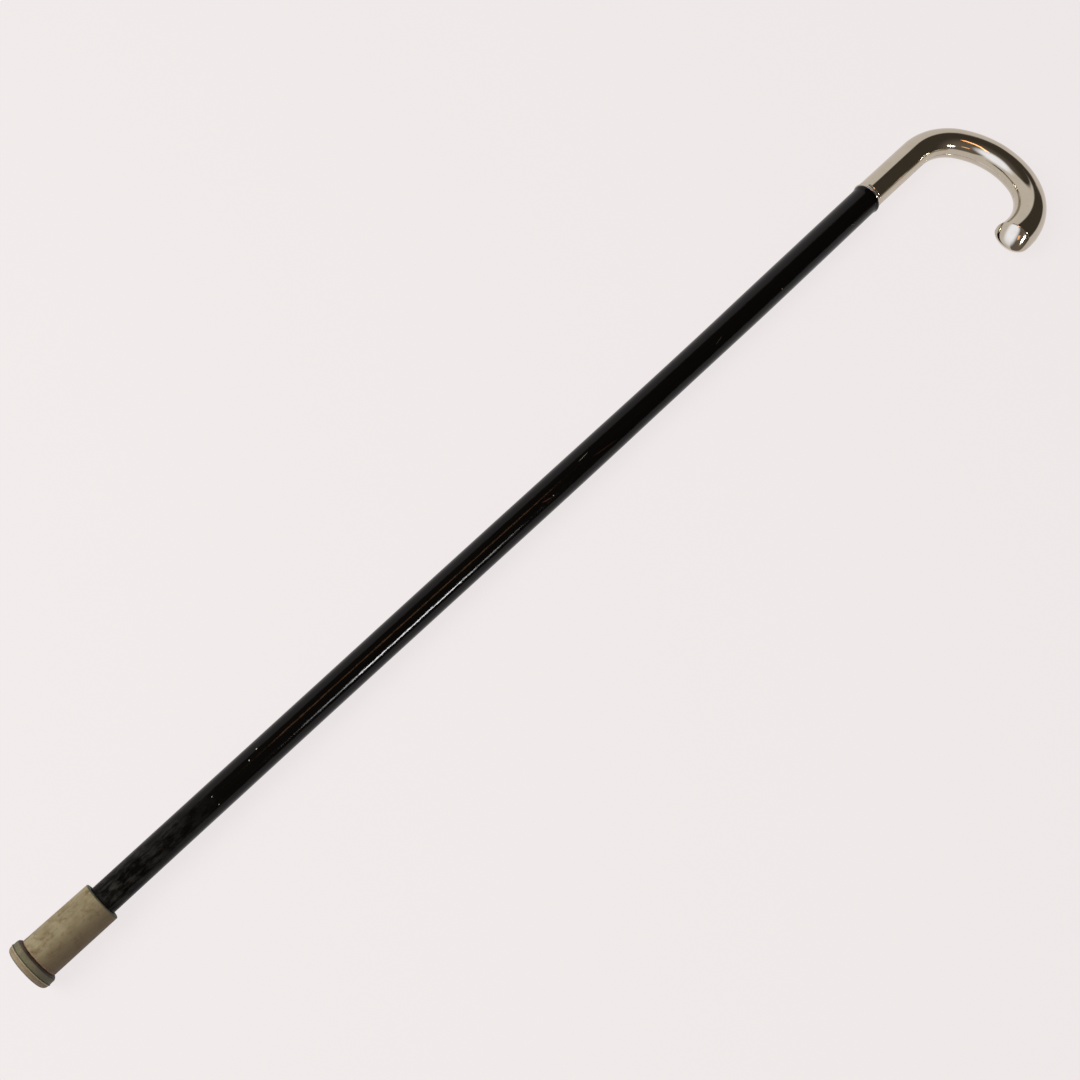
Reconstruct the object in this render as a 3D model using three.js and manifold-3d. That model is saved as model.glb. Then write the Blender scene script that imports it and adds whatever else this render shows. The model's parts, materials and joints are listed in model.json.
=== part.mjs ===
// A crook-handled walking stick: an ebonised wooden shaft, a hollow silver handle on a cement core
// and a push-on rubber ferrule. Millimetres, +Z up. The stick lies on a flat surface, its shaft along X
// with the handle at +X and the crook hooking towards -Y. The origin is under the middle of the whole.
import * as THREE from 'three';
import { mergeVertices } from 'three/addons/utils/BufferGeometryUtils.js';
import Module from 'manifold-3d';

const wasm = await Module();
wasm.setup();

// Clearances shared by everything that fits together
const seatGap = 0.3;

// Rubber ferrule, measured upwards from its sole
const ferruleLength = 54.5;
const ferruleMouthDiameter = 26.2;
const ferruleWaistDiameter = 26.6;
const ferruleFloor = 9;
const ferruleEdgeRound = 0.7;
const flangeDiameter = 31;
const flangeHeight = 8.8;
const flangeEdgeRound = 2.2;
const soleDiameter = 25.4;
const soleRound = 2.8;
const grooveDepth = 0.5;
const grooveWidth = 0.9;
const ridgeHeight = 3.7;
const ridgeProud = 0.4;
const ridgeWidth = 0.9;
const treadDepth = 0.8;
const treadWidth = 1.3;
const treadPitch = 2.9;
const treadCount = 3;

// Steel washer that keeps the shaft's tip from cutting through the rubber
const washerDiameter = 17.6;
const washerThickness = 1.6;

// Shaft
const visibleShaftLength = 710;
const tipDiameter = 19.1;
const topDiameter = 21.9;
const tipChamfer = 1;
const tipLean = THREE.MathUtils.degToRad(0.9);
const lipProud = 0.6;
const lipLength = 5;
const bowDepth = 2.1;
const spigotLength = 34;

// Silver handle: a tube of thin sheet, bent into a crook that swells towards its nose
const tubeDiameter = 21.6;
const noseDiameter = 26.4;
const sheetGauge = 0.8;
const neckLength = 57.3;
const shoulderBendRadius = 36.6;
const crownBendRadius = 61.7;
const noseBendRadius = 42.7;
const shoulderTurn = THREE.MathUtils.degToRad(59.3);
const crownTurn = THREE.MathUtils.degToRad(53.1);
const noseTurn = THREE.MathUtils.degToRad(76.6);
const noseSlant = THREE.MathUtils.degToRad(14);
const capDepth = 10.5;
const capSkewShare = 0.12;
const capOutlinePower = 2.2;
const capWedgePower = 1.15;

// Mouth ring of the handle: a bead of half-round wire with a cove behind it
const beadProud = 0.65;
const beadWidth = 1.5;
const coveWidth = 1.8;

// Steel stud that ties the handle's core to the shaft
const studDiameter = 5;
const studInShaft = 60;
const studInCore = 20;

// Fineness of the facets
const shaftSides = 32;
const ferruleSides = 40;
const tubeSides = 32;
const coreSides = 16;
const studSides = 16;
const washerSides = 32;
const roundSteps = 4;
const capRings = 8;
const bowSteps = 18;
const crookFacetLength = 4.6;

// Places along the stick, counted from the middle of the ferrule's sole
const washerSeat = ferruleFloor + seatGap;
const tipEnd = washerSeat + washerThickness + seatGap;
const collarPlace = ferruleLength + visibleShaftLength;
const tubeRadius = tubeDiameter / 2;
const noseRadius = noseDiameter / 2;
const spigotRadius = tubeRadius - sheetGauge - seatGap;
const mouthRingWidth = beadWidth + coveWidth;
const crookLength = neckLength + shoulderBendRadius * shoulderTurn
  + crownBendRadius * crownTurn + noseBendRadius * noseTurn;

// Turns a profile of [place along the stick, radius] points into a solid round the stick's axis.
function turned(profile, sides) {
  const points = profile.map(([place, radius]) => new THREE.Vector2(radius, place));
  return new THREE.LatheGeometry(points, sides).rotateZ(-Math.PI / 2);
}

// Points of a quarter-round between two directions, about a centre, as profile points.
function rounded(centrePlace, centreRadius, round, fromAngle, toAngle) {
  const points = [];
  for (let step = 0; step <= roundSteps; step += 1) {
    const angle = fromAngle + (toAngle - fromAngle) * step / roundSteps;
    points.push([centrePlace + round * Math.cos(angle), centreRadius + round * Math.sin(angle)]);
  }
  return points;
}

function finish(color, roughness, metalness) {
  return new THREE.MeshStandardMaterial({ color, roughness, metalness });
}

const ebonisedWood = finish(0x17120f, 0.35, 0);
const silver = finish(0xcfc8bc, 0.15, 1);
const cement = finish(0x3a2c22, 0.9, 0);
const steel = finish(0x8c8e90, 0.4, 1);
const agedRubber = finish(0x9d9275, 0.85, 0);

function piece(name, geometry, material) {
  const mesh = new THREE.Mesh(geometry, material);
  mesh.name = name;
  return mesh;
}

// A natural stick is never quite even: this one swells at two old knots as it tapers to its tip.
const taperPlaceShares = [0, 0.18, 0.3, 0.41, 0.6, 0.68, 0.76, 0.83, 0.89, 1];
const taperGrowthShares = [0, 0.17, 0.28, 0.49, 0.67, 0.6, 0.7, 0.95, 1, 1];
const taper = new THREE.CubicInterpolant(taperPlaceShares, taperGrowthShares, 1);

function shaftRadius(place) {
  const share = (place - tipEnd) / (collarPlace - tipEnd);
  return (tipDiameter + (topDiameter - tipDiameter) * taper.evaluate(share)[0]) / 2;
}

// Nor is it quite straight. It bows sideways between the ferrule's mouth and the collar.
const bowPlaceShares = [0, 0.2, 0.4, 0.56, 0.68, 0.78, 0.88, 1];
const bowDepthShares = [0, 0.26, 0.59, 0.92, 1, 0.95, 0.72, 0.35];
const bow = new THREE.CubicInterpolant(bowPlaceShares, bowDepthShares, 1);

function bowAt(place) {
  const share = (place - ferruleLength) / (collarPlace - ferruleLength);
  return bowDepth * bow.evaluate(share)[0];
}

// Below the ferrule's mouth the tip leans the other way, and the ferrule leans with it.
const ferruleMouth = new THREE.Vector3(ferruleLength, 0, 0);
const leaning = new THREE.Quaternion().setFromAxisAngle(new THREE.Vector3(0, 0, 1), -tipLean);

function leaned(point) {
  return point.sub(ferruleMouth).applyQuaternion(leaning).add(ferruleMouth);
}

// The shaft, with a rounded lip at its top and a spigot above it that goes into the handle.
function shaft() {
  const lipStart = collarPlace - lipLength;
  const lipPlaceShares = [0, 0.3, 0.6, 0.8, 0.93, 1];
  const lipProudShares = [0, 0.14, 0.66, 1, 0.94, 0.5];
  const holeRadius = studDiameter / 2 + seatGap;
  const spigotEnd = collarPlace + spigotLength;
  const holeEnd = spigotEnd - studInShaft - seatGap;
  const profile = [[tipEnd, 0], [tipEnd, shaftRadius(tipEnd) - tipChamfer]];
  profile.push([tipEnd + tipChamfer, shaftRadius(tipEnd)]);
  for (let step = 0; step < bowSteps; step += 1) {
    const place = ferruleLength + (lipStart - ferruleLength) * step / bowSteps;
    profile.push([place, shaftRadius(place)]);
  }
  lipPlaceShares.forEach((share, i) => {
    const place = lipStart + lipLength * share;
    profile.push([place, shaftRadius(place) + lipProud * lipProudShares[i]]);
  });
  const rowsBelowSpigot = profile.length;
  profile.push([collarPlace, spigotRadius], [spigotEnd, spigotRadius]);
  profile.push([spigotEnd, holeRadius], [holeEnd, holeRadius], [holeEnd, 0]);
  const geometry = turned(profile, shaftSides);

  // The spigot stays true to the handle, and what is below it follows the bow.
  const position = geometry.attributes.position;
  for (let i = 0; i < position.count; i += 1) {
    const point = new THREE.Vector3().fromBufferAttribute(position, i);
    if (point.x < ferruleLength) {
      leaned(point);
    } else if (i % profile.length < rowsBelowSpigot) {
      point.y -= bowAt(point.x);
    }
    position.setXYZ(i, ...point);
  }
  return geometry;
}

// The rubber ferrule: a thick sleeve on a domed flange, with the mould's parting ridge round the rim.
function rubberFerrule() {
  const mouthRadius = ferruleMouthDiameter / 2;
  const waistRadius = ferruleWaistDiameter / 2;
  const flangeRadius = flangeDiameter / 2;
  const boreFloorRadius = shaftRadius(tipEnd) + seatGap;
  const boreMouthRadius = shaftRadius(ferruleLength) + seatGap;
  const profile = [[0, 0]];
  for (let ring = 0; ring < treadCount; ring += 1) {
    const inner = treadPitch * (ring + 1);
    const outer = inner + treadWidth;
    profile.push([0, inner], [treadDepth, inner], [treadDepth, outer], [0, outer]);
  }
  profile.push([0, soleDiameter / 2]);
  for (let step = 1; step <= roundSteps; step += 1) {
    const angle = Math.PI / 2 * step / roundSteps;
    const out = (flangeRadius - soleDiameter / 2) * Math.sin(angle);
    profile.push([soleRound * (1 - Math.cos(angle)), soleDiameter / 2 + out]);
  }
  profile.push([ridgeHeight - ridgeWidth / 2, flangeRadius], [ridgeHeight, flangeRadius + ridgeProud]);
  profile.push([ridgeHeight + ridgeWidth / 2, flangeRadius]);
  const [roundPlace, roundRadius] = [flangeHeight - flangeEdgeRound, flangeRadius - flangeEdgeRound];
  profile.push(...rounded(roundPlace, roundRadius, flangeEdgeRound, Math.PI / 2, 0));
  profile.push([flangeHeight, waistRadius - grooveDepth], [flangeHeight + grooveWidth, waistRadius]);
  const mouthCentre = mouthRadius - ferruleEdgeRound;
  profile.push(...rounded(ferruleLength - ferruleEdgeRound, mouthCentre, ferruleEdgeRound, Math.PI / 2, 0));
  profile.push([ferruleLength, boreMouthRadius + ferruleEdgeRound]);
  profile.push([ferruleLength - ferruleEdgeRound, boreMouthRadius]);
  profile.push([ferruleFloor, boreFloorRadius], [ferruleFloor, 0]);
  return turned(profile, ferruleSides);
}

function ferruleWasher() {
  const top = washerSeat + washerThickness;
  const radius = washerDiameter / 2;
  return turned([[washerSeat, 0], [washerSeat, radius], [top, radius], [top, 0]], washerSides);
}

// A station on the crook's centre line: where it is, which way it runs and how far it has swollen.
// The section there leans by the nose's slant, more and more through the last bend.
function stationAt(distance) {
  const bends = [
    [shoulderBendRadius, shoulderTurn],
    [crownBendRadius, crownTurn],
    [noseBendRadius, noseTurn],
  ];
  const point = new THREE.Vector2(collarPlace + Math.min(distance, neckLength), 0);
  let heading = 0;
  let left = Math.max(0, distance - neckLength);
  for (const [radius, turn] of bends) {
    const part = Math.min(left, radius * turn);
    const next = heading - part / radius;
    point.x += radius * (Math.sin(heading) - Math.sin(next));
    point.y += radius * (Math.cos(next) - Math.cos(heading));
    heading = next;
    left -= part;
  }
  const noseBendLength = noseBendRadius * noseTurn;
  const share = THREE.MathUtils.clamp(1 - (crookLength - distance) / noseBendLength, 0, 1);
  const lean = noseSlant * share;
  const facing = heading + lean;
  return {
    point,
    facing,
    radius: tubeRadius + (noseRadius - tubeRadius) * THREE.MathUtils.smoothstep(share, 0, 1),
    across: new THREE.Vector2(-Math.sin(facing), Math.cos(facing)).divideScalar(Math.cos(lean)),
  };
}

function stationsBetween(start, end) {
  const count = Math.round((end - start) / crookFacetLength);
  return Array.from({ length: count + 1 }, (_, i) => stationAt(start + (end - start) * i / count));
}

// A solid swept along stations. The outline of a station's section is a loop of points,
// x across the centre line and y above it, anticlockwise seen along the way it runs.
function swept(stations, outlineAt) {
  const outlines = stations.map(outlineAt);
  const size = outlines[0].length;
  const positions = [];
  stations.forEach((station, i) => {
    for (const spot of outlines[i]) {
      const place = station.point.clone().addScaledVector(station.across, spot.x);
      positions.push(place.x, place.y, spot.y);
    }
  });
  const index = [];
  for (let i = 0; i < stations.length - 1; i += 1) {
    for (let j = 0; j < size; j += 1) {
      const [a, b] = [i * size + j, i * size + (j + 1) % size];
      index.push(a, b, a + size, b, b + size, a + size);
    }
  }
  const last = (stations.length - 1) * size;
  for (const [a, b, c] of THREE.ShapeUtils.triangulateShape(outlines[0], [])) {
    index.push(a, c, b, last + a, last + b, last + c);
  }
  const geometry = new THREE.BufferGeometry();
  geometry.setAttribute('position', new THREE.Float32BufferAttribute(positions, 3));
  geometry.setIndex(index);
  return geometry;
}

// One half of the handle's tube, stamped from sheet and soldered to the other along the crook's plane.
function crookShell(upward) {
  const stations = stationsBetween(mouthRingWidth + seatGap, crookLength);
  return swept(stations, (station) => {
    const outline = [];
    for (const [radius, reverse] of [[station.radius, false], [station.radius - sheetGauge, true]]) {
      const edge = Math.asin(seatGap / 2 / radius);
      for (let step = 0; step <= tubeSides / 2; step += 1) {
        const share = 2 * (reverse ? tubeSides / 2 - step : step) / tubeSides;
        const angle = edge + (Math.PI - 2 * edge) * share;
        outline.push(new THREE.Vector2(radius * Math.cos(angle), upward * radius * Math.sin(angle)));
      }
    }
    return upward > 0 ? outline : outline.reverse();
  });
}

// How far the nose's cap stands out, at shares of its half width across and of its half height.
// Seen from above it is a round of its own power, a little fuller on the outer side of the crook.
// Seen from the side it is a blunt wedge, whose upper and lower faces are nearly flat.
function capLift(acrossShare, heightShare) {
  const tall = Math.sqrt(Math.max(0, 1 - acrossShare ** 2));
  const rise = tall > 0 ? Math.min(1, Math.abs(heightShare) / tall) : 1;
  const outline = (1 - Math.abs(acrossShare) ** capOutlinePower) ** (1 / capOutlinePower);
  const wedge = (1 - rise ** capWedgePower) ** (1 / capWedgePower);
  return (1 + capSkewShare * acrossShare) * outline * wedge;
}

// The cap that closes the nose: raised from the same sheet, with its edge on the end of the tube.
function crookEndCap() {
  const end = stationAt(crookLength);
  const axis = new THREE.Vector3(Math.cos(end.facing), Math.sin(end.facing), 0);
  const across = new THREE.Vector3(end.across.x, end.across.y, 0);
  const centre = new THREE.Vector3(end.point.x, end.point.y, 0).addScaledVector(axis, seatGap);
  const points = [];
  for (const inset of [0, sheetGauge]) {
    for (let ring = 0; ring <= capRings; ring += 1) {
      const out = ring < capRings ? Math.cos(Math.PI / 2 * ring / capRings) : 0;
      for (let side = 0; side < tubeSides; side += 1) {
        const angle = 2 * Math.PI * side / tubeSides;
        const [acrossShare, heightShare] = [out * Math.cos(angle), out * Math.sin(angle)];
        const lift = (capDepth - inset) * capLift(acrossShare, heightShare);
        const point = centre.clone().addScaledVector(axis, lift);
        point.addScaledVector(across, (noseRadius - inset) * acrossShare);
        point.z += (noseRadius - inset) * heightShare;
        points.push(...point);
      }
    }
  }
  const index = [];
  const rows = 2 * (capRings + 1);
  const rowOrder = Array.from({ length: rows }, (_, row) => (row <= capRings ? capRings - row : row));
  for (let row = 0; row < rows - 1; row += 1) {
    const [low, high] = [rowOrder[row] * tubeSides, rowOrder[row + 1] * tubeSides];
    for (let side = 0; side < tubeSides; side += 1) {
      const next = (side + 1) % tubeSides;
      index.push(low + side, high + side, high + next, low + side, high + next, low + next);
    }
  }
  const geometry = new THREE.BufferGeometry();
  geometry.setAttribute('position', new THREE.Float32BufferAttribute(points, 3));
  geometry.setIndex(index);
  return asGeometry(asManifold(geometry));
}

// Half-round wire soldered round the handle's mouth, hollowed behind to meet the tube.
function mouthRing() {
  const start = collarPlace + seatGap;
  const inner = tubeRadius - sheetGauge;
  const profile = [[start, inner]];
  for (let step = 0; step <= 2 * roundSteps; step += 1) {
    const angle = Math.PI * step / (2 * roundSteps);
    const along = beadWidth / 2 * (1 - Math.cos(angle));
    profile.push([start + along, tubeRadius + beadProud * Math.sin(angle)]);
  }
  const coveDepthShare = 0.35;
  const coveMiddle = start + beadWidth + coveWidth / 2;
  profile.push([coveMiddle, tubeRadius - sheetGauge * coveDepthShare]);
  profile.push([start + mouthRingWidth - seatGap, tubeRadius], [start + mouthRingWidth - seatGap, inner]);
  profile.push([start, inner]);
  return turned(profile, tubeSides);
}

function asManifold(geometry) {
  const bare = geometry.clone();
  for (const name of ['normal', 'uv']) {
    bare.deleteAttribute(name);
  }
  const merged = mergeVertices(bare);
  return new wasm.Manifold(new wasm.Mesh({
    numProp: 3,
    vertProperties: merged.attributes.position.array,
    triVerts: new Uint32Array(merged.index.array),
  }));
}

function asGeometry(manifold) {
  const { vertProperties, triVerts } = manifold.getMesh();
  const geometry = new THREE.BufferGeometry();
  geometry.setAttribute('position', new THREE.BufferAttribute(vertProperties, 3));
  geometry.setIndex(new THREE.BufferAttribute(triVerts, 1));
  return geometry;
}

function stud(clearance) {
  const spigotEnd = collarPlace + spigotLength;
  const radius = studDiameter / 2 + clearance;
  const [low, high] = [spigotEnd - studInShaft - clearance, spigotEnd + studInCore + clearance];
  return turned([[low, 0], [low, radius], [high, radius], [high, 0]], studSides);
}

// Cement run into the hollow handle, from the end of the shaft's spigot to the nose, round the stud.
function crookCore() {
  const stations = stationsBetween(spigotLength + seatGap, crookLength);
  const core = swept(stations, (station) => {
    const radius = station.radius - sheetGauge - seatGap;
    return Array.from({ length: coreSides }, (_, j) => {
      const angle = 2 * Math.PI * j / coreSides;
      return new THREE.Vector2(radius * Math.cos(angle), radius * Math.sin(angle));
    });
  });
  return asGeometry(asManifold(core).subtract(asManifold(stud(seatGap))));
}

const tipFittings = new THREE.Group();
tipFittings.quaternion.copy(leaning);
tipFittings.position.copy(leaned(new THREE.Vector3()));
tipFittings.add(
  piece('ferrule_washer', ferruleWasher(), steel),
  piece('rubber_ferrule', rubberFerrule(), agedRubber),
);

const stick = new THREE.Group();
stick.add(
  piece('shaft', shaft(), ebonisedWood),
  piece('joining_stud', stud(0), steel),
  piece('crook_core', crookCore(), cement),
  piece('crook_shell_left', crookShell(1), silver),
  piece('crook_shell_right', crookShell(-1), silver),
  piece('crook_end_cap', crookEndCap(), silver),
  piece('mouth_ring', mouthRing(), silver),
  tipFittings,
);

// The stick rests on three spots: the ferrule's rim, the shaft's lip and the crook's nose.
// The plane through them is turned level, and the whole is set on it.
const nose = stationAt(crookLength);
const lipRadius = shaftRadius(collarPlace) + lipProud;
const rimRest = leaned(new THREE.Vector3(ridgeHeight, 0, -flangeDiameter / 2 - ridgeProud));
const lipRest = new THREE.Vector3(collarPlace, -bowAt(collarPlace), -lipRadius);
const noseRest = new THREE.Vector3(nose.point.x, nose.point.y, -nose.radius);
const floor = new THREE.Plane().setFromCoplanarPoints(rimRest, noseRest, lipRest);
stick.quaternion.setFromUnitVectors(floor.normal, new THREE.Vector3(0, 0, 1));
const box = new THREE.Box3().setFromObject(stick, true);
const middle = box.getCenter(new THREE.Vector3());
stick.position.set(-middle.x, -middle.y, -box.min.z);

export default stick;
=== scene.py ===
import json
import math
from bisect import bisect_right

import bpy
from mathutils import Euler, Matrix, Vector, noise


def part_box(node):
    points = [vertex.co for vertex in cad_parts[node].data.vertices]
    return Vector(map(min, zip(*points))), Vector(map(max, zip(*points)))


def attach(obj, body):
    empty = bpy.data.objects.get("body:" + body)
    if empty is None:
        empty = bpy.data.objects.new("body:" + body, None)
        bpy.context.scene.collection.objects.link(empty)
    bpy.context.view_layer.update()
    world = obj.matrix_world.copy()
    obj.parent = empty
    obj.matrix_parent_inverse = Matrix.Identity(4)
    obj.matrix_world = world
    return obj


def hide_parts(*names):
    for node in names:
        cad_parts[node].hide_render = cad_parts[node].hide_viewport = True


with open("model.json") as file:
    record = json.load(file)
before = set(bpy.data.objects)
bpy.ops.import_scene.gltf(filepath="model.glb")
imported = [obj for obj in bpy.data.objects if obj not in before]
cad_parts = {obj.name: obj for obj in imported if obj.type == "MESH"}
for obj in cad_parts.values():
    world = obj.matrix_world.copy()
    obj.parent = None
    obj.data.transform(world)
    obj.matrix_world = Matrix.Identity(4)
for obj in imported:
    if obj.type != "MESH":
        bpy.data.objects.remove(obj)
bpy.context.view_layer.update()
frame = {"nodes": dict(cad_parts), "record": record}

# The shaft: one length of close-grained hardwood, turned and tapered, stained black and lacquered.
# It swells at two old knots and bows a little. A rounded lip ends it at the collar, and a spigot
# above the lip, bored for a steel stud, goes up into the handle.
mm = 0.001
ferrule_length = 54.5 * mm
visible_shaft_length = 710 * mm
tip_diameter = 19.1 * mm
top_diameter = 21.9 * mm
tip_chamfer = 1 * mm
tip_lean = math.radians(0.9)
tip_end = 11.2 * mm
lip_proud = 0.6 * mm
lip_length = 5 * mm
bow_depth = 2.1 * mm
hand_finish_depth = 0.05 * mm
hand_finish_spacing = 32 * mm
spigot_length = 34 * mm
spigot_diameter = 19.4 * mm
stud_hole_diameter = 5.6 * mm
stud_hole_depth = 60.3 * mm
shaft_ring_spacing = 3 * mm
shaft_sides = 96
sharp_edge = math.radians(32)
collar = ferrule_length + visible_shaft_length

# The stick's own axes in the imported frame. Its straight axis starts at the ferrule's mouth and goes
# through the middle of the joining stud, and the ferrule leans off that axis in the crook's plane.
sole = frame["record"]["mounts"][0]
sole_centre, sole_faces = Vector(sole["pos_m"]), Vector(sole["axis"])
ferrule_mouth = sole_centre - sole_faces * ferrule_length
stud_low, stud_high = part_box("joining_stud")
along = ((stud_low + stud_high) / 2 - ferrule_mouth).normalized()
sideways = (sole_faces - along * sole_faces.dot(along)).normalized()
stick_axes = Matrix((along, sideways, along.cross(sideways))).transposed().to_4x4()
stick_axes.translation = ferrule_mouth - along * ferrule_length
ferrule_axes = stick_axes @ Matrix.Translation((ferrule_length, 0, 0))
ferrule_axes @= Matrix.Rotation(-tip_lean, 4, "Z") @ Matrix.Translation((-ferrule_length, 0, 0))


def eased(places, values, at):
    """A smooth curve through the values, which leaves each with the mean of the slopes beside it."""
    slopes = [(values[i + 1] - values[i]) / (places[i + 1] - places[i]) for i in range(len(places) - 1)]
    tangents = [slopes[0], *((a + b) / 2 for a, b in zip(slopes, slopes[1:])), slopes[-1]]
    i = max(0, min(len(slopes) - 1, bisect_right(places, at) - 1))
    span = places[i + 1] - places[i]
    t = (at - places[i]) / span
    start = (1 - t) ** 2 * ((1 + 2 * t) * values[i] + t * span * tangents[i])
    end = t ** 2 * ((3 - 2 * t) * values[i + 1] - (1 - t) * span * tangents[i + 1])
    return start + end


def shaft_radius(place):
    """The shaft's radius at a place along the stick, from its tip to the collar."""
    place_shares = [0, 0.18, 0.3, 0.41, 0.6, 0.68, 0.76, 0.83, 0.89, 1]
    growth_shares = [0, 0.17, 0.28, 0.49, 0.67, 0.6, 0.7, 0.95, 1, 1]
    growth = eased(place_shares, growth_shares, (place - tip_end) / (collar - tip_end))
    return (tip_diameter + (top_diameter - tip_diameter) * growth) / 2


def shaft_bow(place):
    """How far the shaft bows sideways at a place along the stick."""
    place_shares = [0, 0.2, 0.4, 0.56, 0.68, 0.78, 0.88, 1]
    depth_shares = [0, 0.26, 0.59, 0.92, 1, 0.95, 0.72, 0.35]
    return bow_depth * eased(place_shares, depth_shares, (place - ferrule_length) / visible_shaft_length)


def turned(name, profile, sides, shape=None):
    """A closed solid turned round the X axis from (place, radius) points, its first and last on the
    axis or the same. Its wrap map runs along and round it in metres, with the seam underneath."""
    closed = profile[0] == profile[-1]
    rows = profile[:-1] if closed else profile
    points, rings = [], []
    for place, radius in rows:
        count = sides if radius > 0 else 1
        rings.append(range(len(points), len(points) + count))
        for side in range(count):
            turn = 2 * math.pi * side / sides
            point = Vector((place, -radius * math.sin(turn), -radius * math.cos(turn)))
            points.append(shape(point, len(rings) - 1) if shape else point)
    faces, wrap, run = [], [], 0
    girth = max(radius for place, radius in rows)
    for i, (low, high) in enumerate(zip(rings, rings[1:] + rings[:1] if closed else rings[1:])):
        step = math.dist(rows[i], rows[(i + 1) % len(rows)])
        for side in range(sides):
            corners = []
            for ring, far, turn in ((low, 0, 0), (low, 0, 1), (high, 1, 1), (high, 1, 0)):
                point = ring[(side + turn) % len(ring)]
                if point not in [c[0] for c in corners]:
                    shift = turn if len(ring) > 1 else 0.5
                    round_it = (2 * (side + shift) / sides - 1) * math.pi * girth
                    corners.append((point, (run + far * step, round_it)))
            if len(corners) > 2:
                faces.append([c[0] for c in corners])
                wrap.extend(c[1] for c in corners)
        run += step
    mesh = bpy.data.meshes.new(name)
    mesh.from_pydata(points, [], faces)
    layer = mesh.uv_layers.new(name="wrap")
    for corner, place in zip(layer.data, wrap):
        corner.uv = place
    mesh.shade_smooth()
    mesh.set_sharp_from_angle(angle=sharp_edge)
    return mesh


def linear(hex_colour):
    """An sRGB hex colour as linear red, green, blue and alpha."""
    shares = [int(hex_colour[i:i + 2], 16) / 255 for i in (1, 3, 5)]
    return (*(s / 12.92 if s <= 0.04045 else ((s + 0.055) / 1.055) ** 2.4 for s in shares), 1)


def add(tree, kind, inputs=None, **settings):
    """Adds a node with its settings. An input takes a value, or a link from a socket or a node."""
    node = tree.nodes.new(kind)
    for name, value in settings.items():
        setattr(node, name, value)
    for name, value in (inputs or {}).items():
        if isinstance(value, bpy.types.Node):
            value = next(output for output in value.outputs if output.enabled)
        if isinstance(value, bpy.types.NodeSocket):
            tree.links.new(value, node.inputs[name])
        else:
            node.inputs[name].default_value = value
    return node


def bare_material(name):
    """A material with an empty node tree, and the tree."""
    material = bpy.data.materials.new(name)
    material.use_nodes = True
    material.node_tree.nodes.clear()
    return material, material.node_tree


def piece(name, mesh, material, body, replaced):
    """Puts a finished mesh into the scene as a piece that stands for a CAD node and rides on a body."""
    made = bpy.data.objects.new(name, mesh)
    bpy.context.scene.collection.objects.link(made)
    mesh.materials.clear()
    mesh.materials.append(material)
    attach(made, body)
    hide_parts(replaced)
    return made


lip_start = collar - lip_length
lip_shares = [(0, 0), (0.12, 0.02), (0.3, 0.14), (0.45, 0.38), (0.6, 0.66), (0.72, 0.88), (0.82, 1)]
lip_shares += [(0.9, 0.98), (0.96, 0.86), (0.99, 0.68), (1, 0.45)]
spigot_end = collar + spigot_length
stud_hole_end = spigot_end - stud_hole_depth
tip_flat = shaft_radius(tip_end) - tip_chamfer
shaft_profile = [(tip_end, 0), (tip_end, tip_flat), (tip_end + tip_chamfer, tip_flat + tip_chamfer)]
ring_count = round((lip_start - tip_end) / shaft_ring_spacing)
for ring in range(1, ring_count):
    place = tip_end + (lip_start - tip_end) * ring / ring_count
    shaft_profile.append((place, shaft_radius(place)))
for share, proud in lip_shares:
    place = lip_start + lip_length * share
    shaft_profile.append((place, shaft_radius(place) + lip_proud * proud))
spigot_row = len(shaft_profile)
shaft_profile += [(collar, spigot_diameter / 2), (spigot_end, spigot_diameter / 2)]
shaft_profile += [(spigot_end, stud_hole_diameter / 2), (stud_hole_end, stud_hole_diameter / 2)]
shaft_profile += [(stud_hole_end, 0)]


def follow_the_bow(point, row):
    """Moves a point of the shaft on to its bow, and gives the wood the waver of a hand finish."""
    if row >= spigot_row:
        return point
    radius = math.hypot(point.y, point.z)
    if ferrule_length < point.x < lip_start:
        waver = 0.5 + 0.5 * noise.noise(point / hand_finish_spacing)
        point.yz = point.yz * (1 - hand_finish_depth * waver / radius)
    if point.x < ferrule_length:
        off = Matrix.Rotation(-tip_lean, 2) @ Vector((point.x - ferrule_length, point.y))
        return Vector((off.x + ferrule_length, off.y, point.z))
    return point - Vector((0, shaft_bow(point.x), 0))


# Ebonised and lacquered hardwood: near black, with the grain just felt under a thin coat whose
# waver breaks up what it mirrors. It is rubbed grey near the ferrule, a grey that is partly painted
# sheen, the soft box's soft reflection put into its colour, and carries knocks and scuffs.
grain_length = 22 * mm
grain_width = 0.9 * mm
rub_length = 8 * mm
rub_width = 2.6 * mm
rub_reach = 90 * mm
rub_strength = 0.6
coat_waver = 1.3 * mm
coat_waver_depth = 0.05 * mm
coat_waver_stretch = 0.3
coat_gloss = 0.17
rubbed_gloss = 0.04
polished_roughness = 0.05
handled_roughness = 0.14
rubbed_roughness = 0.25
mark_core = 0.5
mark_edge = 1.1
ragged_spacing = 0.9 * mm
ragged_share = 0.9
ebony, ebony_tree = bare_material("ebonised and lacquered hardwood")
to_stick = stick_axes.inverted()
object_place = add(ebony_tree, "ShaderNodeTexCoord").outputs["Object"]
stick_place = add(ebony_tree, "ShaderNodeMapping", {
    "Vector": object_place, "Location": to_stick.translation, "Rotation": to_stick.to_euler()})
grain_run = add(ebony_tree, "ShaderNodeVectorMath", {
    0: stick_place, 1: (1 / grain_length, 1 / grain_width, 1 / grain_width)}, operation="MULTIPLY")
grain = add(ebony_tree, "ShaderNodeTexNoise", {"Vector": grain_run, "Scale": 1, "Detail": 4})
ebony_tone = add(ebony_tree, "ShaderNodeMix", {
    0: grain, 6: linear("#030302"), 7: linear("#0b0908")}, data_type="RGBA")
stick_parts = add(ebony_tree, "ShaderNodeSeparateXYZ", {0: stick_place})
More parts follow.
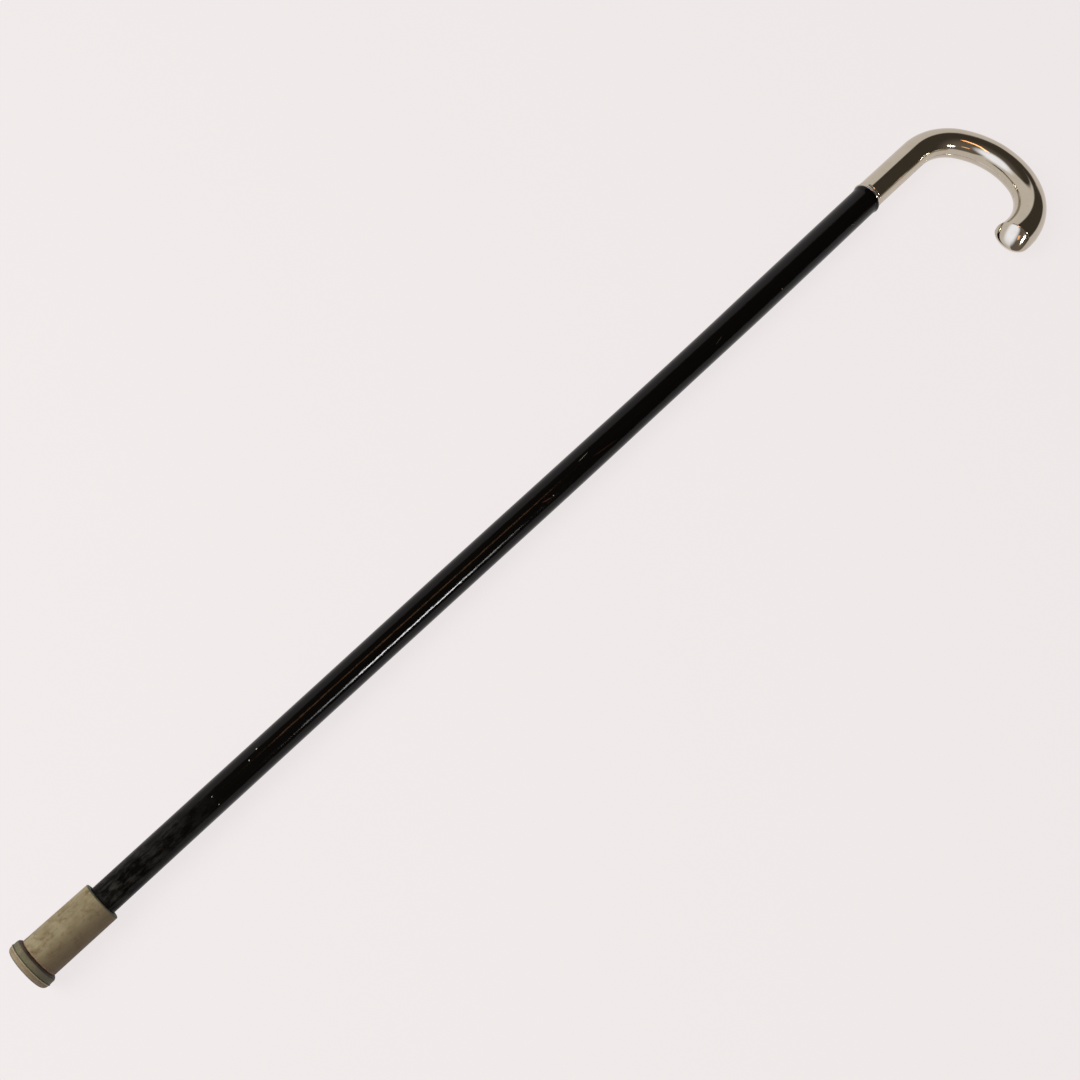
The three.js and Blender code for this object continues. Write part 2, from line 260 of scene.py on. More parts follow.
near_ferrule = add(ebony_tree, "ShaderNodeMapRange", {
    "Value": stick_parts.outputs["X"], "From Min": ferrule_length,
    "From Max": ferrule_length + rub_reach, "To Min": rub_strength, "To Max": 0})
rub_run = add(ebony_tree, "ShaderNodeVectorMath", {
    0: stick_place, 1: (1 / rub_length, 1 / rub_width, 1 / rub_width)}, operation="MULTIPLY")
rub = add(ebony_tree, "ShaderNodeTexNoise", {
    "Vector": rub_run, "Scale": 1, "Detail": 5, "Roughness": 0.65})
rub_and_sheen_patches = add(ebony_tree, "ShaderNodeMapRange", {
    "Value": rub, "From Min": 0.4, "From Max": 0.72}, interpolation_type="SMOOTHSTEP")
rub_and_sheen_share = add(ebony_tree, "ShaderNodeMath", {0: near_ferrule, 1: rub_and_sheen_patches}, operation="MULTIPLY")
# Grey patches near the ferrule: partly real rubbing, partly a painted sheen of the soft box.
ebony_tone = add(ebony_tree, "ShaderNodeMix", {
    0: rub_and_sheen_share, 6: ebony_tone, 7: linear("#403e3a")}, data_type="RGBA")

# Single marks on the lacquer, each by its place along the stick and its angle round it, from the top
# towards the side away from the nose.
marks = [
    # place and angle, length and width in mm, turn, colour, strength
    (138.5, -8, 1.3, 0.7, 30, "#a39e95", 0.7),
    (138.4, -46, 1.1, 0.7, 0, "#a09a90", 0.8),
    (168.3, -2, 1.3, 0.8, 70, "#b4aea5", 0.9),
    (176.0, 12, 1.3, 0.9, 20, "#c3bdb2", 0.9),
    (419.0, -33, 9.0, 1.0, -14, "#6b3c30", 0.4),
    (424.0, -36, 1.4, 0.9, 0, "#a89a8d", 0.6),
    (457.5, -5, 10.0, 0.5, 4, "#8f897f", 0.5),
    (473.0, -35, 24.0, 0.8, -8, "#4a2a22", 0.35),
    (590.0, -28, 9.0, 0.6, 12, "#4d443c", 0.5),
    (655.0, -50, 1.2, 0.9, 0, "#8b8479", 0.7),
]
wrap_start = tip_flat + tip_chamfer * math.sqrt(2) - (tip_end + tip_chamfer)
shaft_girth = max(radius for place, radius in shaft_profile)
wrapped = add(ebony_tree, "ShaderNodeUVMap", uv_map="wrap")
ragged = add(ebony_tree, "ShaderNodeTexNoise", {
    "Vector": stick_place, "Scale": 1 / ragged_spacing, "Detail": 3}).outputs["Color"]
ragged_off = add(ebony_tree, "ShaderNodeVectorMath", {
    0: ragged, 1: (ragged_share, ragged_share, 0), 2: (-ragged_share / 2, -ragged_share / 2, 0)},
    operation="MULTIPLY_ADD")
for place, angle, length, width, turn, colour, strength in marks:
    centre = (wrap_start + place * mm, math.radians(angle) * shaft_girth, 0)
    off_centre = add(ebony_tree, "ShaderNodeMapping", {
        "Vector": wrapped, "Location": centre, "Rotation": (0, 0, math.radians(turn)),
        "Scale": (length / 2 * mm, width / 2 * mm, 1)}, vector_type="TEXTURE")
    torn = add(ebony_tree, "ShaderNodeVectorMath", {0: off_centre, 1: ragged_off})
    far = add(ebony_tree, "ShaderNodeVectorMath", {0: torn}, operation="LENGTH").outputs["Value"]
    mark = add(ebony_tree, "ShaderNodeMapRange", {
        "Value": far, "From Min": mark_edge, "From Max": mark_core, "To Max": strength},
        interpolation_type="SMOOTHSTEP")
    ebony_tone = add(ebony_tree, "ShaderNodeMix", {
        0: mark, 6: ebony_tone, 7: linear(colour)}, data_type="RGBA")
waver_run = add(ebony_tree, "ShaderNodeVectorMath", {
    0: stick_place, 1: (coat_waver_stretch / coat_waver, 1 / coat_waver, 1 / coat_waver)},
    operation="MULTIPLY")
waver = add(ebony_tree, "ShaderNodeTexNoise", {"Vector": waver_run, "Scale": 1, "Detail": 4})
coat_bump = add(ebony_tree, "ShaderNodeBump", {"Height": waver, "Distance": coat_waver_depth})
coat_roughness = add(ebony_tree, "ShaderNodeMapRange", {
    "Value": rub, "From Min": 0.3, "From Max": 0.7, "To Min": polished_roughness,
    "To Max": handled_roughness})
coat_roughness = add(ebony_tree, "ShaderNodeMath", {
    0: near_ferrule, 1: rubbed_roughness, 2: coat_roughness}, operation="MULTIPLY_ADD")
coat_level = add(ebony_tree, "ShaderNodeMapRange", {
    "Value": near_ferrule, "From Max": rub_strength, "To Min": coat_gloss, "To Max": rubbed_gloss})
ebony_shader = add(ebony_tree, "ShaderNodeBsdfPrincipled", {
    "Base Color": ebony_tone, "Roughness": coat_roughness, "Specular IOR Level": coat_level,
    "Normal": coat_bump})
add(ebony_tree, "ShaderNodeOutputMaterial", {"Surface": ebony_shader})

shaft_mesh = turned("shaft", shaft_profile, shaft_sides, follow_the_bow)
shaft_mesh.transform(stick_axes)
piece("turned_shaft", shaft_mesh, ebony, "stick", "shaft")

# The joining stud and the ferrule's washer: turned mild steel, with the fine rings of the lathe.
# The stud is cemented into the shaft and the handle's filling, and the washer lies in the ferrule.
tool_mark_spacing = 0.35 * mm
tool_mark_depth = 0.01 * mm
steel, steel_tree = bare_material("turned mild steel")
steel_place = add(steel_tree, "ShaderNodeMapping", {
    "Vector": add(steel_tree, "ShaderNodeTexCoord").outputs["Object"],
    "Location": to_stick.translation, "Rotation": to_stick.to_euler()})
# A wave texture of scale 1 has this many rings in a metre.
wave_rings = 20 / (2 * math.pi)
tool_marks = add(steel_tree, "ShaderNodeTexWave", {
    "Vector": steel_place, "Scale": 1 / wave_rings / tool_mark_spacing, "Distortion": 0.6,
    "Detail": 2}, bands_direction="X")
steel_tone = add(steel_tree, "ShaderNodeMix", {
    0: tool_marks, 6: linear("#8a8c8e"), 7: linear("#b4b5b4")}, data_type="RGBA")
steel_bump = add(steel_tree, "ShaderNodeBump", {"Height": tool_marks, "Distance": tool_mark_depth})
steel_shader = add(steel_tree, "ShaderNodeBsdfPrincipled", {
    "Base Color": steel_tone, "Metallic": 1, "Roughness": 0.38, "Normal": steel_bump})
add(steel_tree, "ShaderNodeOutputMaterial", {"Surface": steel_shader})
for node in ("joining_stud", "ferrule_washer"):
    frame["nodes"][node].material_slots[0].material = steel

# The handle's two halves: thin silver sheet, stamped left and right and soldered along the crook's
# plane. The tube keeps one bore round the bends and swells to its nose, where its end leans back.
tube_diameter = 21.6 * mm
nose_diameter = 26.4 * mm
sheet_gauge = 0.8 * mm
neck_length = 57.3 * mm
bends = [
    # radius and turn, from the neck to the nose
    (36.6 * mm, math.radians(59.3)),
    (61.7 * mm, math.radians(53.1)),
    (42.7 * mm, math.radians(76.6)),
]
nose_slant = math.radians(14)
tube_start = 3.45 * mm
dent_depth = 0.1 * mm
dent_spacing = 13 * mm
swell_length = bends[-1][0] * bends[-1][1]
line_step = 0.5 * mm
tube_rows = 300
half_tube_sides = 56


def centre_line():
    """Points of the handle's centre line, a straight neck and three bends on one side, and its heading."""
    heading, point = 0.0, Vector((collar + neck_length, 0, 0))
    points = [Vector((collar, 0, 0)), point.copy()]
    for radius, turn in bends:
        steps = round(radius * turn / line_step)
        for step in range(1, steps + 1):
            ahead = heading - turn * step / steps
            across = Vector((math.sin(heading) - math.sin(ahead), math.cos(ahead) - math.cos(heading), 0))
            points.append(point + radius * across)
        heading -= turn
        point = points[-1].copy()
    return points, heading


def half_tube_tree():
    """The rule of the stamped halves: a sheet bent round the centre line, on one side of its plane."""
    tree = bpy.data.node_groups.new("half tube along a line", "GeometryNodeTree")
    lengths = ["Start", "Swell length", "Tube radius", "Nose radius", "Slant", "Side"]
    lengths += ["Dent depth", "Dent spacing"]
    kinds = {"Geometry": "NodeSocketGeometry", **{name: "NodeSocketFloat" for name in lengths}}
    kinds |= {"Rows": "NodeSocketInt", "Sides": "NodeSocketInt", "Finish": "NodeSocketMaterial"}
    for name, kind in kinds.items():
        tree.interface.new_socket(name, in_out="INPUT", socket_type=kind)
    tree.interface.new_socket("Geometry", in_out="OUTPUT", socket_type="NodeSocketGeometry")
    given = tree.nodes.new("NodeGroupInput").outputs
    sheet = add(tree, "GeometryNodeMeshGrid", {
        "Size X": 1, "Size Y": 1, "Vertices X": given["Rows"], "Vertices Y": given["Sides"]})
    spot = add(tree, "ShaderNodeSeparateXYZ", {0: add(tree, "GeometryNodeInputPosition")})
    whole = add(tree, "GeometryNodeCurveLength", {0: given["Geometry"]})
    place = add(tree, "ShaderNodeMapRange", {
        "Value": spot.outputs["X"], "From Min": -0.5, "From Max": 0.5, "To Min": given["Start"],
        "To Max": whole})
    station = add(tree, "GeometryNodeSampleCurve", {
        "Curves": given["Geometry"], "Length": place}, mode="LENGTH", use_all_curves=True)
    swell_start = add(tree, "ShaderNodeMath", {0: whole, 1: given["Swell length"]}, operation="SUBTRACT")
    swell = add(tree, "ShaderNodeMapRange", {"Value": place, "From Min": swell_start, "From Max": whole})
    radius = add(tree, "ShaderNodeMapRange", {
        "Value": swell, "To Min": given["Tube radius"], "To Max": given["Nose radius"]},
        interpolation_type="SMOOTHSTEP")
    lean = add(tree, "ShaderNodeMath", {0: swell, 1: given["Slant"]}, operation="MULTIPLY")
    facing = add(tree, "ShaderNodeVectorRotate", {
        "Vector": station.outputs["Tangent"], "Angle": lean}, rotation_type="Z_AXIS")
    square = add(tree, "ShaderNodeVectorMath", {0: (0, 0, 1), 1: facing}, operation="CROSS_PRODUCT")
    longer = add(tree, "ShaderNodeMath", {
        0: 1, 1: add(tree, "ShaderNodeMath", {0: lean}, operation="COSINE")}, operation="DIVIDE")
    across = add(tree, "ShaderNodeVectorMath", {0: square, "Scale": longer}, operation="SCALE")
    angle = add(tree, "ShaderNodeMapRange", {
        "Value": spot.outputs["Y"], "From Min": -0.5, "From Max": 0.5, "To Max": math.pi})
    sine = add(tree, "ShaderNodeMath", {0: angle}, operation="SINE")
    cosine = add(tree, "ShaderNodeMath", {0: angle}, operation="COSINE")
    height = add(tree, "ShaderNodeMath", {0: sine, 1: given["Side"]}, operation="MULTIPLY")
    up = add(tree, "ShaderNodeCombineXYZ", {"Z": height})
    wide = add(tree, "ShaderNodeVectorMath", {0: across, "Scale": cosine}, operation="SCALE")
    outward = add(tree, "ShaderNodeVectorMath", {0: wide, 1: up})
    skin = add(tree, "ShaderNodeVectorMath", {0: outward, "Scale": radius}, operation="SCALE")
    smooth_place = add(tree, "ShaderNodeVectorMath", {0: station.outputs["Position"], 1: skin})
    spaced = add(tree, "ShaderNodeMath", {0: 1, 1: given["Dent spacing"]}, operation="DIVIDE")
    dents = add(tree, "ShaderNodeTexNoise", {"Vector": smooth_place, "Scale": spaced, "Detail": 0})
    depth = add(tree, "ShaderNodeMath", {0: dents, 1: given["Dent depth"]}, operation="MULTIPLY")
    dented = add(tree, "ShaderNodeMath", {0: radius, 1: depth}, operation="SUBTRACT")
    offset = add(tree, "ShaderNodeVectorMath", {0: outward, "Scale": dented}, operation="SCALE")
    at = add(tree, "ShaderNodeVectorMath", {0: station.outputs["Position"], 1: offset})
    bent = add(tree, "GeometryNodeSetPosition", {"Geometry": sheet.outputs["Mesh"], "Position": at})
    left = add(tree, "FunctionNodeCompare", {0: given["Side"], 1: 0}, operation="GREATER_THAN")
    turned_out = add(tree, "GeometryNodeFlipFaces", {"Mesh": bent, "Selection": left})
    smooth = add(tree, "GeometryNodeSetShadeSmooth", {"Geometry": turned_out})
    real = add(tree, "GeometryNodeRealizeInstances", {"Geometry": smooth})
    clad = add(tree, "GeometryNodeSetMaterial", {"Geometry": real, "Material": given["Finish"]})
    add(tree, "NodeGroupOutput", {0: clad})
    return tree


# Sterling silver, polished by hand: a warm mirror, which a faint haze and slow ripples soften, with
# fine rubbing and small pits.
haze_spacing = 11 * mm
clear_roughness = 0.035
hazy_roughness = 0.11
rubbing_spacing = 0.7 * mm
rubbing_depth = 0.0016 * mm
ripple_spacing = 5 * mm
ripple_depth = 0.012 * mm
pit_spacing = 3.4 * mm
pit_radius_share = 0.085
silver, silver_tree = bare_material("hand-polished sterling silver")
silver_place = add(silver_tree, "ShaderNodeMapping", {
    "Vector": add(silver_tree, "ShaderNodeTexCoord").outputs["Object"],
    "Location": to_stick.translation, "Rotation": to_stick.to_euler()})
haze = add(silver_tree, "ShaderNodeTexNoise", {
    "Vector": silver_place, "Scale": 1 / haze_spacing, "Detail": 5, "Roughness": 0.6})
haze_roughness = add(silver_tree, "ShaderNodeMapRange", {
    "Value": haze, "From Min": 0.35, "From Max": 0.7, "To Min": clear_roughness,
    "To Max": hazy_roughness})
silver_tone = add(silver_tree, "ShaderNodeMix", {
    0: haze, 6: linear("#c8c1b1"), 7: linear("#b7ae9c")}, data_type="RGBA")
pit_cells = add(silver_tree, "ShaderNodeTexVoronoi", {"Vector": silver_place, "Scale": 1 / pit_spacing})
pit_size = add(silver_tree, "ShaderNodeMapRange", {
    "Value": pit_cells.outputs["Color"], "From Min": 0.4, "From Max": 0.9, "To Max": pit_radius_share})
pit_depth = add(silver_tree, "ShaderNodeMath", {
    0: pit_cells.outputs["Distance"], 1: pit_size}, operation="LESS_THAN")
silver_tone = add(silver_tree, "ShaderNodeMix", {
    0: pit_depth, 6: silver_tone, 7: linear("#6e6558")}, data_type="RGBA")
ripple = add(silver_tree, "ShaderNodeTexNoise", {
    "Vector": silver_place, "Scale": 1 / ripple_spacing, "Detail": 1})
rippled = add(silver_tree, "ShaderNodeBump", {"Height": ripple, "Distance": ripple_depth})
rubbing = add(silver_tree, "ShaderNodeTexNoise", {
    "Vector": silver_place, "Scale": 1 / rubbing_spacing, "Detail": 4})
silver_bump = add(silver_tree, "ShaderNodeBump", {
    "Height": rubbing, "Distance": rubbing_depth, "Normal": rippled})
silver_shader = add(silver_tree, "ShaderNodeBsdfPrincipled", {
    "Base Color": silver_tone, "Metallic": 1, "Roughness": haze_roughness, "Normal": silver_bump})
add(silver_tree, "ShaderNodeOutputMaterial", {"Surface": silver_shader})

line_points, nose_heading = centre_line()
half_tube = half_tube_tree()
tube_sizes = {"Start": tube_start, "Swell length": swell_length, "Tube radius": tube_diameter / 2}
tube_sizes |= {"Nose radius": nose_diameter / 2, "Slant": nose_slant, "Dent depth": dent_depth}
tube_sizes |= {"Dent spacing": dent_spacing, "Rows": tube_rows, "Sides": half_tube_sides, "Finish": silver}
for name, side, node in (("left_handle_half", 1.0, "crook_shell_left"),
                         ("right_handle_half", -1.0, "crook_shell_right")):
    line = bpy.data.curves.new(name, "CURVE")
    line.dimensions = "3D"
    spline = line.splines.new("POLY")
    spline.points.add(len(line_points) - 1)
    for spot, point in zip(spline.points, line_points):
        spot.co = (*point, 1)
    bent = bpy.data.objects.new(name, line)
    bpy.context.scene.collection.objects.link(bent)
    bending = bent.modifiers.new("half tube", "NODES")
    bending.node_group = half_tube
    for socket in half_tube.interface.items_tree:
        if socket.in_out == "INPUT" and socket.name != "Geometry":
            bending[socket.identifier] = side if socket.name == "Side" else tube_sizes[socket.name]
    half_mesh = bpy.data.meshes.new_from_object(bent.evaluated_get(bpy.context.evaluated_depsgraph_get()))
    half_mesh.name = name
    bpy.data.objects.remove(bent)
    half_mesh.transform(stick_axes)
    half = piece(name, half_mesh, silver, "stick", node)
    gauge = half.modifiers.new("sheet gauge", "SOLIDIFY")
    gauge.thickness = sheet_gauge
    gauge.offset = -1

# The cement filling: pitch and powdered brick, run hot into the hollow handle and left to set.
# It backs the thin sheet so that it can't dent, and grips the stud.
grit = 1.6 * mm
grit_depth = 0.3 * mm
cement, cement_tree = bare_material("pitch and brick-dust cement")
cement_grains = add(cement_tree, "ShaderNodeTexVoronoi", {
    "Vector": add(cement_tree, "ShaderNodeTexCoord").outputs["Object"], "Scale": 1 / grit})
cement_tone = add(cement_tree, "ShaderNodeMix", {
    0: cement_grains, 6: linear("#4a3529"), 7: linear("#241a14")}, data_type="RGBA")
cement_bump = add(cement_tree, "ShaderNodeBump", {"Height": cement_grains, "Distance": grit_depth})
cement_shader = add(cement_tree, "ShaderNodeBsdfPrincipled", {
    "Base Color": cement_tone, "Roughness": 0.88, "Normal": cement_bump})
add(cement_tree, "ShaderNodeOutputMaterial", {"Surface": cement_shader})
frame["nodes"]["crook_core"].material_slots[0].material = cement

# The nose's cap: raised from the same sheet and soldered to the end of the tube. From above it is
# round, and from the side it is a blunt wedge, whose nearly flat faces mirror the lamps whole.
cap_depth = 10.5 * mm
cap_skew_share = 0.12
cap_outline_power = 2.2
cap_wedge_power = 1.15
cap_lift = 0.1 * mm
cap_rings = 40
cap_sides = 160
nose_radius = nose_diameter / 2


def cap_skin(inset):
    """One face of the cap from its edge to its middle, as (inset, radius) points."""
    turns = [math.pi / 2 * ring / cap_rings for ring in range(cap_rings)]
    return [(inset, (nose_radius - inset) * math.cos(turn)) for turn in turns] + [(inset, 0)]


def raised(point, row):
    """Moves a point of a flat skin out to the cap's own form, and on to the tube's slanted end."""
    half_width = nose_radius - point.x
    across, high = point.y / half_width, abs(point.z) / half_width
    tall = math.sqrt(max(0, 1 - across ** 2))
    rise = min(1, high / tall) if tall > 0 else 1
    outline = max(0, 1 - abs(across) ** cap_outline_power) ** (1 / cap_outline_power)
    wedge = (1 - rise ** cap_wedge_power) ** (1 / cap_wedge_power)
    lift = (cap_depth - point.x) * (1 + cap_skew_share * across) * outline * wedge
    return Vector((cap_lift + lift, point.y / math.cos(nose_slant), point.z))


cap_mesh = turned("nose cap", cap_skin(sheet_gauge)[::-1] + cap_skin(0), cap_sides, raised)
cap_mesh.transform(Matrix.Rotation(nose_heading + nose_slant, 4, "Z"))
cap_mesh.transform(stick_axes @ Matrix.Translation(line_points[-1]))
piece("domed_nose_cap", cap_mesh, silver, "stick", "crook_end_cap")

# The mouth ring: half-round silver wire soldered round the handle's mouth, with a cove behind it.
# It hides the joint, just above the shaft's lip.
bead_proud = 0.65 * mm
bead_width = 1.5 * mm
cove_width = 1.8 * mm
cove_depth = 0.28 * mm
ring_gap = 0.12 * mm
bead_steps = 20
cove_steps = 10
tube_radius = tube_diameter / 2
ring_start = collar + ring_gap
cove_start = ring_start + bead_width
ring_profile = [(ring_start, tube_radius - sheet_gauge)]
for step in range(bead_steps + 1):
    turn = math.pi * step / bead_steps
    run = bead_width / 2 * (1 - math.cos(turn))
    ring_profile.append((ring_start + run, tube_radius + bead_proud * math.sin(turn)))
for step in range(1, cove_steps + 1):
    share = step / cove_steps
    sunk = cove_depth * math.sin(math.pi * share)
    ring_profile.append((cove_start + cove_width * share, tube_radius - sunk))
ring_profile += [(ring_profile[-1][0], tube_radius - sheet_gauge), ring_profile[0]]
ring_mesh = turned("mouth ring", ring_profile, 2 * half_tube_sides)
ring_mesh.transform(stick_axes)
piece("beaded_mouth_ring", ring_mesh, silver, "stick", "mouth_ring")

# The rubber ferrule: moulded grey-beige rubber, a thick sleeve on a flange with a treaded sole.
# It is pushed on to the shaft's tip, over a washer, and grips by its stretch alone.
flange_diameter = 31 * mm
flange_height = 8.8 * mm
flange_edge_round = 2.2 * mm
sole_diameter = 25.4 * mm
sole_round = 2.8 * mm
mouth_diameter = 26.2 * mm
waist_diameter = 26.6 * mm
ferrule_floor = 9 * mm
ferrule_edge_round = 0.7 * mm
groove_depth = 0.5 * mm
groove_width = 0.9 * mm
ridge_height = 3.7 * mm
ridge_proud = 0.4 * mm
ridge_width = 0.9 * mm
tread_depth = 0.8 * mm
tread_width = 1.3 * mm
tread_pitch = 2.9 * mm
tread_count = 3
tread_edge = 0.12 * mm
bore_clearance = 0.1 * mm
ferrule_sides = 128
round_steps = 10
sleeve_rings = 40


def rounded(place, radius, size, start, end):
    """Points of a quarter round about a centre, its angles measured up from the ferrule's axis."""
    turns = [start + (end - start) * step / round_steps for step in range(round_steps + 1)]
    return [(place + size * math.cos(turn), radius + size * math.sin(turn)) for turn in turns]


ferrule_profile = [(0, 0)]
for ring in range(tread_count):
    inner = tread_pitch * (ring + 1)
    outer = inner + tread_width
    ferrule_profile += [(0, inner - tread_edge), (tread_edge, inner), (tread_depth, inner)]
    ferrule_profile += [(tread_depth, outer), (tread_edge, outer), (0, outer + tread_edge)]
flange_radius = flange_diameter / 2
ferrule_profile += rounded(sole_round, sole_diameter / 2, sole_round, math.pi, math.pi / 2)
for share in (-1, -0.7, -0.4, -0.15, 0.15, 0.4, 0.7, 1):
    proud = ridge_proud * math.cos(math.pi / 2 * share)
    ferrule_profile.append((ridge_height + ridge_width / 2 * share, flange_radius + proud))
edge_place, edge_radius = flange_height - flange_edge_round, flange_radius - flange_edge_round
ferrule_profile += rounded(edge_place, edge_radius, flange_edge_round, math.pi / 2, 0)
waist_radius = waist_diameter / 2
groove_foot = flange_height + groove_width
for share in (0, 0.3, 0.6, 0.85, 1):
    sunk = groove_depth * math.cos(math.pi / 2 * share)
    ferrule_profile.append((flange_height + groove_width * share, waist_radius - sunk))
mouth_radius = mouth_diameter / 2
sleeve_top = ferrule_length - ferrule_edge_round
for ring in range(1, sleeve_rings):
    share = ring / sleeve_rings
    place = groove_foot + (sleeve_top - groove_foot) * share
    ferrule_profile.append((place, waist_radius + (mouth_radius - waist_radius) * share))
mouth_edge_radius = mouth_radius - ferrule_edge_round
ferrule_profile += rounded(sleeve_top, mouth_edge_radius, ferrule_edge_round, math.pi / 2, 0)
bore_mouth = shaft_radius(ferrule_length) + bore_clearance
ferrule_profile += [(ferrule_length, bore_mouth + ferrule_edge_round), (sleeve_top, bore_mouth)]
ferrule_profile += [(ferrule_floor, shaft_radius(tip_end) + bore_clearance), (ferrule_floor, 0)]

# Aged moulded rubber: dull beige, blotched and streaked by handling, and browner down one side,
# partly by staining and partly by painted shade on the side away from the soft box. It is darker on
# its sole, has painted shade in the groove above the flange and on the mouth's end face, and a
# parting ridge that is pale from wear.
stain_spacing = 11 * mm
smudge_spacing = 5 * mm
streak_length = 14 * mm
streak_width = 1.4 * mm
skin_spacing = 0.8 * mm
skin_depth = 0.06 * mm
stained_and_shaded_side_start = 3 * mm
stained_and_shaded_side_full = -12.5 * mm
stained_and_shaded_side_strength = 0.8
rubber, rubber_tree = bare_material("aged grey-beige moulded rubber")
to_ferrule = ferrule_axes.inverted()
rubber_place = add(rubber_tree, "ShaderNodeMapping", {
    "Vector": add(rubber_tree, "ShaderNodeTexCoord").outputs["Object"],
    "Location": to_ferrule.translation, "Rotation": to_ferrule.to_euler()})
rubber_parts = add(rubber_tree, "ShaderNodeSeparateXYZ", {0: rubber_place})
stains = add(rubber_tree, "ShaderNodeTexNoise", {
    "Vector": rubber_place, "Scale": 1 / stain_spacing, "Detail": 5, "Roughness": 0.6})
rubber_tone = add(rubber_tree, "ShaderNodeMix", {
    0: add(rubber_tree, "ShaderNodeMapRange", {"Value": stains, "From Min": 0.3, "From Max": 0.7}),
    6: linear("#8c8165"), 7: linear("#6b5f44")}, data_type="RGBA")
streak_run = add(rubber_tree, "ShaderNodeVectorMath", {
    0: rubber_place, 1: (1 / streak_length, 1 / streak_width, 1 / streak_width)}, operation="MULTIPLY")
streaks = add(rubber_tree, "ShaderNodeTexNoise", {"Vector": streak_run, "Scale": 1, "Detail": 3})
streak_share = add(rubber_tree, "ShaderNodeMapRange", {
    "Value": streaks, "From Min": 0.45, "From Max": 0.75, "To Max": 0.45})
rubber_tone = add(rubber_tree, "ShaderNodeMix", {
    0: streak_share, 6: rubber_tone, 7: linear("#938a72")}, data_type="RGBA")
smudges = add(rubber_tree, "ShaderNodeTexNoise", {
    "Vector": rubber_place, "Scale": 1 / smudge_spacing, "Detail": 5, "Roughness": 0.7})
smudge_share = add(rubber_tree, "ShaderNodeMapRange", {
    "Value": smudges, "From Min": 0.5, "From Max": 0.66, "To Max": 0.8})
rubber_tone = add(rubber_tree, "ShaderNodeMix", {
    0: smudge_share, 6: rubber_tone, 7: linear("#5e4a2f")}, data_type="RGBA")
# Browner down the side away from the soft box: partly staining, partly painted shade.
stain_and_shade_down_the_side = add(rubber_tree, "ShaderNodeMapRange", {
    "Value": rubber_parts.outputs["Y"], "From Min": stained_and_shaded_side_start, "From Max": stained_and_shaded_side_full,
    "To Max": stained_and_shaded_side_strength}, interpolation_type="SMOOTHSTEP")
rubber_tone = add(rubber_tree, "ShaderNodeMix", {
    0: stain_and_shade_down_the_side, 6: rubber_tone, 7: linear("#5b4a31")}, data_type="RGBA")
# Bands of tone round the ferrule. Two of them are painted shade: in the groove above the flange, and on
# the mouth's end face.
bands = [
    # where it starts and ends and how far it fades, along the ferrule in mm, colour, strength
    (-2, 3.1, 0.3, "#7a6a55", 0.7),
    (-2, 0.5, 0.8, "#41453a", 0.8),
    (4.3, 8.9, 0.7, "#53503d", 0.8),
    (3.5, 3.9, 0.15, "#998f74", 0.7),
    (4.15, 4.5, 0.15, "#2f2f24", 0.8),
    # painted shade in the groove above the flange
    (7.9, 9.0, 0.3, "#35261a", 0.9),
    (9.3, 9.8, 0.3, "#a07a60", 0.5),
    # painted shade on the mouth's end face and its rounded edge
    (53.9, 60, 0.2, "#3a4230", 0.85),
]
for start, end, fade, colour, strength in bands:
    rise = add(rubber_tree, "ShaderNodeMapRange", {
        "Value": rubber_parts.outputs["X"], "From Min": (start - fade) * mm, "From Max": start * mm})
    fall = add(rubber_tree, "ShaderNodeMapRange", {
        "Value": rubber_parts.outputs["X"], "From Min": (end + fade) * mm, "From Max": end * mm})
    band = add(rubber_tree, "ShaderNodeMath", {0: rise, 1: fall}, operation="MULTIPLY")
    stain_broken_strength = add(rubber_tree, "ShaderNodeMath", {0: stains, 1: 2 * strength}, operation="MULTIPLY")
    shown = add(rubber_tree, "ShaderNodeMath", {0: band, 1: stain_broken_strength}, operation="MULTIPLY", use_clamp=True)
    rubber_tone = add(rubber_tree, "ShaderNodeMix", {
        0: shown, 6: rubber_tone, 7: linear(colour)}, data_type="RGBA")
skin = add(rubber_tree, "ShaderNodeTexNoise", {
    "Vector": rubber_place, "Scale": 1 / skin_spacing, "Detail": 4})
rubber_bump = add(rubber_tree, "ShaderNodeBump", {"Height": skin, "Distance": skin_depth})
rubber_shader = add(rubber_tree, "ShaderNodeBsdfPrincipled", {
    "Base Color": rubber_tone, "Roughness": 0.68, "Specular IOR Level": 0.35, "Normal": rubber_bump})
add(rubber_tree, "ShaderNodeOutputMaterial", {"Surface": rubber_shader})

ferrule_mesh = turned("rubber ferrule", ferrule_profile, ferrule_sides)
ferrule_mesh.transform(ferrule_axes)
piece("moulded_ferrule", ferrule_mesh, rubber, "ferrule", "rubber_ferrule")

# The ground: a plain pale sheet that fills the view. What the camera and the polished surfaces see
# of it is mostly its own pale colour, and the stick's soft shadow still shows.
ground_colour = "#f0eaea"
ground_reach = 8.0
glow_share = 0.92
ground_mesh = bpy.data.meshes.new("ground")
corners = [(x * ground_reach, y * ground_reach, 0) for x, y in ((-1, -1), (1, -1), (1, 1), (-1, 1))]
ground_mesh.from_pydata(corners, [], [(0, 1, 2, 3)])
ground = bpy.data.objects.new("pale_ground", ground_mesh)
bpy.context.scene.collection.objects.link(ground)
paper, paper_tree = bare_material("matt white paper")
rays = add(paper_tree, "ShaderNodeLightPath")
mirrored_or_seen = add(paper_tree, "ShaderNodeMath", {
    0: rays.outputs["Is Camera Ray"], 1: rays.outputs["Is Glossy Ray"]}, operation="MAXIMUM")
any_view = add(paper_tree, "ShaderNodeMath", {
    0: mirrored_or_seen, 1: rays.outputs["Is Transmission Ray"]}, operation="MAXIMUM")
glow = add(paper_tree, "ShaderNodeMath", {0: any_view, 1: glow_share}, operation="MULTIPLY")
matt = add(paper_tree, "ShaderNodeBsdfDiffuse", {"Color": linear(ground_colour)})
